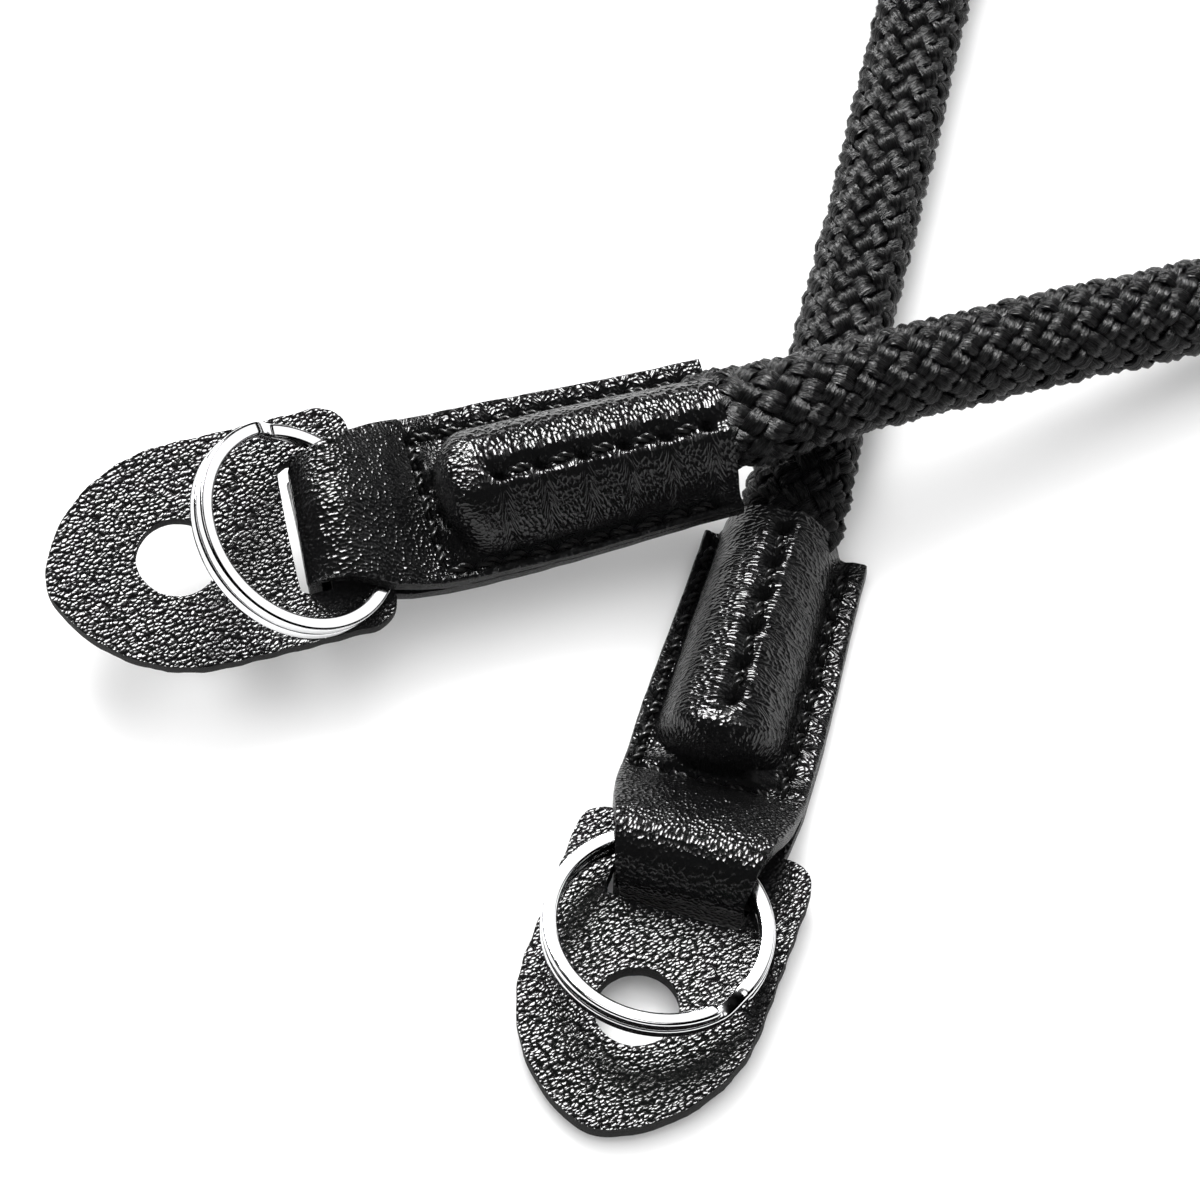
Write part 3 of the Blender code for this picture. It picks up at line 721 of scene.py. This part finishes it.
def sewing_nodes():
    """A stitch on each marked hole pair, turned along the row and off the leather."""
    tree, given = new_node_group("sewing", (
        ("Marks", "Geometry"), ("Short Stitch", "Object"), ("Long Stitch", "Object"),
        ("Unevenness", "Float"), ("Seed", "Int"), ("Thread", "Material"),
    ), "Stitches")
    along = stored_mark(tree, "along", "FLOAT_VECTOR")
    off = stored_mark(tree, "off", "FLOAT_VECTOR")
    kind = stored_mark(tree, "kind", "INT")
    facing = add_node(
        tree, "FunctionNodeAxesToRotation",
        {"Primary Axis": off, "Secondary Axis": along}, primary_axis="Z", secondary_axis="X",
    )
    stray = add_node(
        tree, "FunctionNodeRandomValue", {2: -0.12, 3: 0.12, "Seed": given["Seed"]}, data_type="FLOAT"
    )
    askew = add_node(
        tree, "ShaderNodeMath", {0: stray.outputs[1], 1: given["Unevenness"]}, operation="MULTIPLY"
    )
    about = add_node(tree, "FunctionNodeAxisAngleToRotation", {"Axis": (0, 0, 1), "Angle": askew.outputs[0]})
    turned = add_node(
        tree, "FunctionNodeRotateRotation",
        {"Rotation": facing.outputs[0], "Rotate By": about.outputs[0]}, rotation_space="LOCAL",
    )
    both = tree.nodes.new("GeometryNodeJoinGeometry")
    for name in ("Long Stitch", "Short Stitch"):
        shape = add_node(tree, "GeometryNodeObjectInfo", {"Object": given[name], "As Instance": True})
        tree.links.new(shape.outputs["Geometry"], both.inputs[0])
    size = add_node(
        tree, "FunctionNodeRandomValue", {0: (0.94, 0.92, 0.9), 1: (1.06, 1.08, 1.1), "Seed": given["Seed"]},
        data_type="FLOAT_VECTOR",
    )
    placed = add_node(
        tree, "GeometryNodeInstanceOnPoints",
        {"Points": given["Marks"], "Instance": both.outputs[0], "Pick Instance": True,
         "Instance Index": kind, "Rotation": turned.outputs[0], "Scale": size.outputs[0]},
    )
    real = add_node(tree, "GeometryNodeRealizeInstances", {"Geometry": placed.outputs["Instances"]})
    made = add_node(
        tree, "GeometryNodeSetMaterial", {"Geometry": real.outputs["Geometry"], "Material": given["Thread"]}
    )
    tree.links.new(made.outputs["Geometry"], tree.nodes.new("NodeGroupOutput").inputs[0])
    return tree


sewing = sewing_nodes()
stitch_shapes = [ply_stitch("stitch_short", 2.35, 0.42), ply_stitch("stitch_long", 2.7, 0.85)]
for shape in stitch_shapes:
    scene.collection.objects.link(shape)
    shape.hide_render = True
for name, end, sewn, seed in (("stitches_a", end_a, sewn_a, 11), ("stitches_b", end_b, sewn_b, 12)):
    places, ways, offs, kinds = [], [], [], []
    turn = end.to_3x3()
    pocket_side, seam_side, _, cross_seam = sewn
    for x, y, way, kind in stitch_rows(pocket_side, seam_side, cross_seam):
        height = [
            float(leather_height(np.array([x + dx]), np.array([y + dy]), *sewn)[0])
            for dx, dy in ((0, 0), (probe, 0), (-probe, 0), (0, probe), (0, -probe))
        ]
        slopes = (height[2] - height[1]) / (2 * probe), (height[4] - height[3]) / (2 * probe)
        off = Vector((*slopes, 1)).normalized()
        places.append(end @ (Vector((x, y, height[0])) * MM))
        ways.append(turn @ Vector((cos(way), sin(way), 0)))
        offs.append(turn @ off)
        kinds.append(1 if kind == "seam" else 0)
    marks = mesh_object(name, [place[:] for place in places], [], smooth=False)
    for mark, values in (("along", ways), ("off", offs)):
        flat_values = [c for value in values for c in value]
        marks.data.attributes.new(mark, "FLOAT_VECTOR", "POINT").data.foreach_set("vector", flat_values)
    marks.data.attributes.new("kind", "INT", "POINT").data.foreach_set("value", kinds)
    stitches = grown(
        marks, sewing, Short_Stitch=stitch_shapes[0], Long_Stitch=stitch_shapes[1], Unevenness=1.0,
        Seed=seed, Thread=thread_black,
    )
    stitches.data.shade_smooth()
    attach(stitches, "root")
for shape in stitch_shapes:
    bpy.data.objects.remove(shape)

# The guards: a thicker plate of coarse glossy leather at each end, cut with a slot for the
# tab and a round hole, its edges left raw. It slides on the tab and lies under the ring.
guard_leather, tree, shader = new_material(
    "guard_leather", Base_Color=(0.005, 0.005, 0.0052, 1), Roughness=0.18, Specular_IOR_Level=0.34
)
at = add_node(tree, "ShaderNodeTexCoord").outputs["Object"]
warp = add_node(tree, "ShaderNodeTexNoise", {"Vector": at, "Scale": 1500.0, "Detail": 1.0})
turned_at = add_node(
    tree, "ShaderNodeMapping",
    {"Vector": at, "Rotation": (0, 0, radians(36)), "Scale": (1.05, 0.74, 1.0)}, vector_type="TEXTURE",
)
grain_at = add_node(
    tree, "ShaderNodeVectorMath",
    {0: warp.outputs["Color"], 1: (0.0004, 0.0004, 0.0), 2: turned_at.outputs[0]},
    operation="MULTIPLY_ADD",
)
cells = add_node(
    tree, "ShaderNodeTexVoronoi", {"Vector": grain_at.outputs[0], "Scale": 2250.0},
    voronoi_dimensions="2D", feature="F1",
)
rolling = add_node(tree, "ShaderNodeTexNoise", {"Vector": at, "Scale": 900.0, "Detail": 1.0})
pebble_leather(tree, shader, cells.outputs["Distance"], rolling.outputs["Fac"], 0.00006)
raw_edge, tree, shader = new_material(
    "raw_leather_edge", Base_Color=(0.008, 0.008, 0.008, 1), Roughness=0.75, Specular_IOR_Level=0.25
)
at = add_node(tree, "ShaderNodeTexCoord").outputs["Object"]
fibre = add_node(
    tree, "ShaderNodeTexNoise", {"Vector": at, "Scale": 4200.0, "Detail": 4.0, "Roughness": 0.7}
)
bump_up(tree, shader, fibre.outputs["Fac"], 0.0002)

guard_length, guard_width, guard_thickness = 29.3, 21.2, 1.4
guard_corner, guard_tip, guard_arch = 2.6, 4.7, 14.2
guard_hole, hole_to_tip, slot_to_end, slot_width, slot_length = 7.3, 11.7, 6.5, 2.6, 12.5
guard_rest, fine_tip, edge_round = 2.9, 3.2, 0.13
hole_sides, punch_reach = 72, 4


def guard_half_width(u):
    """Half the guard's width at u from its straight end: corners, sides and two arcs."""
    half = guard_width / 2
    if u < guard_corner:
        return half - guard_corner + sqrt(max(guard_corner**2 - (guard_corner - u) ** 2, 0))
    arc_centre = half - guard_arch
    reach = sqrt((guard_arch - guard_tip) ** 2 - arc_centre**2)
    tip_centre = guard_length - guard_tip
    arch_start = tip_centre - reach
    if u < arch_start:
        return half
    if u < tip_centre + guard_tip * reach / (guard_arch - guard_tip):
        return arc_centre + sqrt(guard_arch**2 - (u - arch_start) ** 2)
    return sqrt(max(guard_tip**2 - (u - tip_centre) ** 2, 0))


def make_guard(name, place, curl, slot_turn, seed):
    """A plate cut out and punched flat, then given its curl and the hand's small dents."""
    ends = np.concatenate([guard_corner * (1 - np.cos(np.linspace(0, pi / 2, 10))), [guard_corner + 0.001]])
    tip = guard_length - fine_tip + fine_tip * np.sin(np.linspace(0, pi / 2, 16))
    rows = np.concatenate([ends, np.linspace(guard_corner, guard_length - fine_tip, 52)[1:-1], tip])
    shares = np.concatenate([[-1.0, -0.985], np.linspace(-0.965, 0.965, 43), [0.985, 1.0]])
    sections = []
    for u in rows:
        half = max(guard_half_width(float(u)), 0.25)
        y = half * shares + 0.05 * np.sin(u * 2.1 + seed) * shares
        x = np.full_like(y, slot_to_end - u)
        top = np.stack([x, y, np.full_like(y, guard_thickness / 2)], axis=1)
        bottom = top * (1, 1, -1)
        sections.append(np.concatenate([top, bottom[::-1]]))
    points = np.concatenate(sections) * MM
    faces = tube_faces(len(rows), 2 * len(shares))
    plate = mesh_object(name, points, faces, guard_leather, smooth=False)
    radius, hole_at = guard_hole / 2, slot_to_end + hole_to_tip - guard_length
    hole = [(radius * cos(a) + hole_at, radius * sin(a)) for a in np.arange(hole_sides) * tau / hole_sides]
    w, h = slot_width / 2, slot_length / 2
    half_turn = np.linspace(pi / 2, -pi / 2, 15)[1:-1]
    bow = [(-w - 0.35 * cos(a) ** 0.5, (h - 0.25) * sin(a)) for a in half_turn]
    slot = [(w, -h), (w, h), (-w + 0.6, h)] + bow + [(-w + 0.6, -h)]
    slot = [(a + slot_turn * (b + h), b) for a, b in slot]
    punches = []
    for shape, outline in (("hole", hole), ("slot", slot)):
        solid = [(a * MM, b * MM, z * MM) for z in (-punch_reach, punch_reach) for a, b in outline]
        walls = tube_faces(2, len(outline))
        punches.append(mesh_object(name + "_" + shape, solid, walls, smooth=False))
    for punch in punches:
        cut = plate.modifiers.new("cut", "BOOLEAN")
        cut.operation, cut.solver, cut.object = "DIFFERENCE", "EXACT", punch
    soften = plate.modifiers.new("soften", "BEVEL")
    soften.width, soften.segments = edge_round * MM, 2
    soften.limit_method, soften.angle_limit = "ANGLE", radians(55)
    bpy.context.view_layer.update()
    mesh = bpy.data.meshes.new_from_object(plate.evaluated_get(bpy.context.evaluated_depsgraph_get()))
    plate.modifiers.clear()
    plate.data = mesh
    for punch in punches:
        bpy.data.objects.remove(punch)
    mesh.materials.append(raw_edge)
    noise.seed_set(seed)
    for face in mesh.polygons:
        face.material_index = 1 if abs(face.normal.z) < 0.6 else 0
    for corner in mesh.vertices:
        x, y, z = (c / MM for c in corner.co)
        bend = curl * max(-x / (guard_length - slot_to_end), 0.0) ** 2
        dents = 0.09 * noise.noise(Vector((x * 0.22, y * 0.22, seed)))
        dents += 0.03 * noise.noise(Vector((x, y, seed)))
        fray = 0.035 * noise.noise(Vector((x * 1.9, y * 1.9, 3.0)))
        corner.co = place @ (Vector((x + fray, y + fray, z + bend + dents)) * MM)
    mesh.shade_smooth()
    mesh.set_sharp_from_angle(angle=radians(48))
    return plate


for name, end, turn, curl, slot_turn, seed in (
    ("guard_a", end_a, (3, 2, 1), 1.0, 0.08, 2), ("guard_b", end_b, (0, -1, -4), -0.9, 0.0, 6),
):
    spin = Euler([radians(a) for a in turn]).to_matrix().to_4x4()
    place = end @ Matrix.Translation(Vector((0, 0, guard_rest)) * MM) @ spin
    guard = make_guard(name, place, curl, slot_turn, seed)
    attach(guard, "root")
    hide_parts("end_a_guard" if name == "guard_a" else "end_b_guard")

# The split rings: flattened spring steel wire wound twice round and chromed. The two turns
# lie on each other, with a jog where the wire crosses over and a cut end on either side.
chrome, tree, shader = new_material(
    "ring_chrome", Base_Color=(0.82, 0.82, 0.83, 1), Roughness=0.09, Metallic=1.0
)
at = add_node(tree, "ShaderNodeTexCoord").outputs["Object"]
rub = add_node(tree, "ShaderNodeTexNoise", {"Vector": at, "Scale": 900.0, "Detail": 3.0})
rub_gloss = add_node(
    tree, "ShaderNodeMapRange",
    {"Value": rub.outputs["Fac"], "From Min": 0.35, "From Max": 0.7, "To Min": 0.06, "To Max": 0.16},
)
tree.links.new(rub_gloss.outputs["Result"], shader.inputs["Roughness"])
bump_up(tree, shader, rub.outputs["Fac"], 0.00004, strength=0.05)
ring_diameter, ring_wire, ring_gap, ring_face = 20.0, 1.05, 0.05, 1.30
flatness, fit, cut_end_fit = 0.33, 0.98, 0.80


def make_ring(name, end, rest, slopes, turned, wound):
    """Two turns of flattened wire, laid in the frame of the strap's end."""
    normal = Vector((-slopes[0], -slopes[1], 1)).normalized()
    along = Vector((1, 0, slopes[0]))
    along = (along - normal * along.dot(normal)).normalized()
    axes = Matrix((along, normal.cross(along), normal)).transposed().to_4x4()
    radius, jog, steps, around = (ring_diameter - ring_face) / 2, radians(16), 260, 20
    middle = Vector(rest) - along * radius
    place = Matrix.Translation(middle) @ axes @ Matrix.Rotation(radians(turned), 4, "Z")
    wire = []
    for i in range(steps + 1):
        angle = jog / 2 + (radians(wound) - jog / 2) * i / steps
        level = 2 * float(ease((angle - 2 * pi + jog / 2) / jog)) - 1
        wire.append((radius * cos(angle), radius * sin(angle), (ring_wire + ring_gap) / 2 * level))
    wire = np.array(wire)
    way = np.gradient(wire, axis=0)
    way /= np.linalg.norm(way, axis=1)[:, None]
    outward = wire * (1, 1, 0)
    outward /= np.linalg.norm(outward, axis=1)[:, None]
    up = np.cross(way, outward)
    points = []
    for i in range(steps + 1):
        share = cut_end_fit if i in (0, steps) else fit
        for j in range(around):
            a = tau * (j + 0.5) / around
            wide = np.sign(cos(a)) * abs(cos(a)) ** flatness * ring_face / 2
            tall = np.sign(sin(a)) * abs(sin(a)) ** flatness * ring_wire / 2
            points.append(wire[i] + share * (wide * outward[i] + tall * up[i]))
    points = [end @ (place @ Vector(point) * MM) for point in points]
    ring = mesh_object(name, [point[:] for point in points], tube_faces(steps + 1, around), chrome)
    ring.data.set_sharp_from_angle(angle=radians(50))
    return ring


for name, end, rest, slopes, turned, wound, node in (
    ("ring_a", end_a, (7.27, -1.55, 2.2), (-0.637, 0.105), 98, 672, "end_a_ring"),
    ("ring_b", end_b, (4.25, 0.5, 5.54), (-0.070, 0.105), 238, 709, "end_b_ring"),
):
    ring = make_ring(name, end, rest, slopes, turned, wound)
    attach(ring, "root")
    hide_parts(node)

# The table: a white sweep in a white room. Two softboxes, above and behind, light it and
# draw the soft shadows. The other four show only as glints on the leather and the chrome.
table_white = new_material("table_white", Base_Color=(0.9, 0.9, 0.9, 1), Roughness=0.6)[0]
reach = 1.5
table_corners = [(-reach, -reach, 0), (reach, -reach, 0), (reach, reach, 0), (-reach, reach, 0)]
table = mesh_object("table", table_corners, [(0, 1, 2, 3)], table_white)

world = bpy.data.worlds.new("studio")
scene.world = world
world.use_nodes = True
world.node_tree.nodes["Background"].inputs["Color"].default_value = (1, 1, 1, 1)
world.node_tree.nodes["Background"].inputs["Strength"].default_value = 1.25
world.cycles_visibility.glossy = False


def soft_light(name, place, size, power, seen_in_gloss):
    """A softbox aimed at the strap: one that lights the table, or one that only glints."""
    light = bpy.data.lights.new(name, "AREA")
    light.shape = "RECTANGLE"
    light.size, light.size_y = size
    light.energy = power
    lamp = bpy.data.objects.new(name, light)
    lamp.location = place
    aim = Vector((0.01, 0.03, 0)) - Vector(place)
    lamp.rotation_euler = aim.to_track_quat("-Z", "Y").to_euler()
    lamp.visible_glossy = seen_in_gloss
    lamp.visible_diffuse = not seen_in_gloss
    scene.collection.objects.link(lamp)


soft_light("table_overhead", (0.0, 0.10, 0.85), (0.48, 0.48), 1.4, False)
soft_light("table_behind", (-0.08, 0.54, 0.78), (0.60, 0.42), 3.2, False)
soft_light("glint_behind", (-0.13, 0.58, 0.71), (0.50, 0.42), 36.0, True)
soft_light("glint_overhead", (0.10, 0.10, 0.92), (0.30, 0.24), 0.4, True)
soft_light("ring_glint_b", (0.27, 0.49, 0.73), (0.30, 0.46), 0.6, True)
soft_light("ring_glint_a", (0.66, 0.37, 0.44), (0.44, 0.44), 0.8, True)
scene.view_settings.view_transform = "Standard"
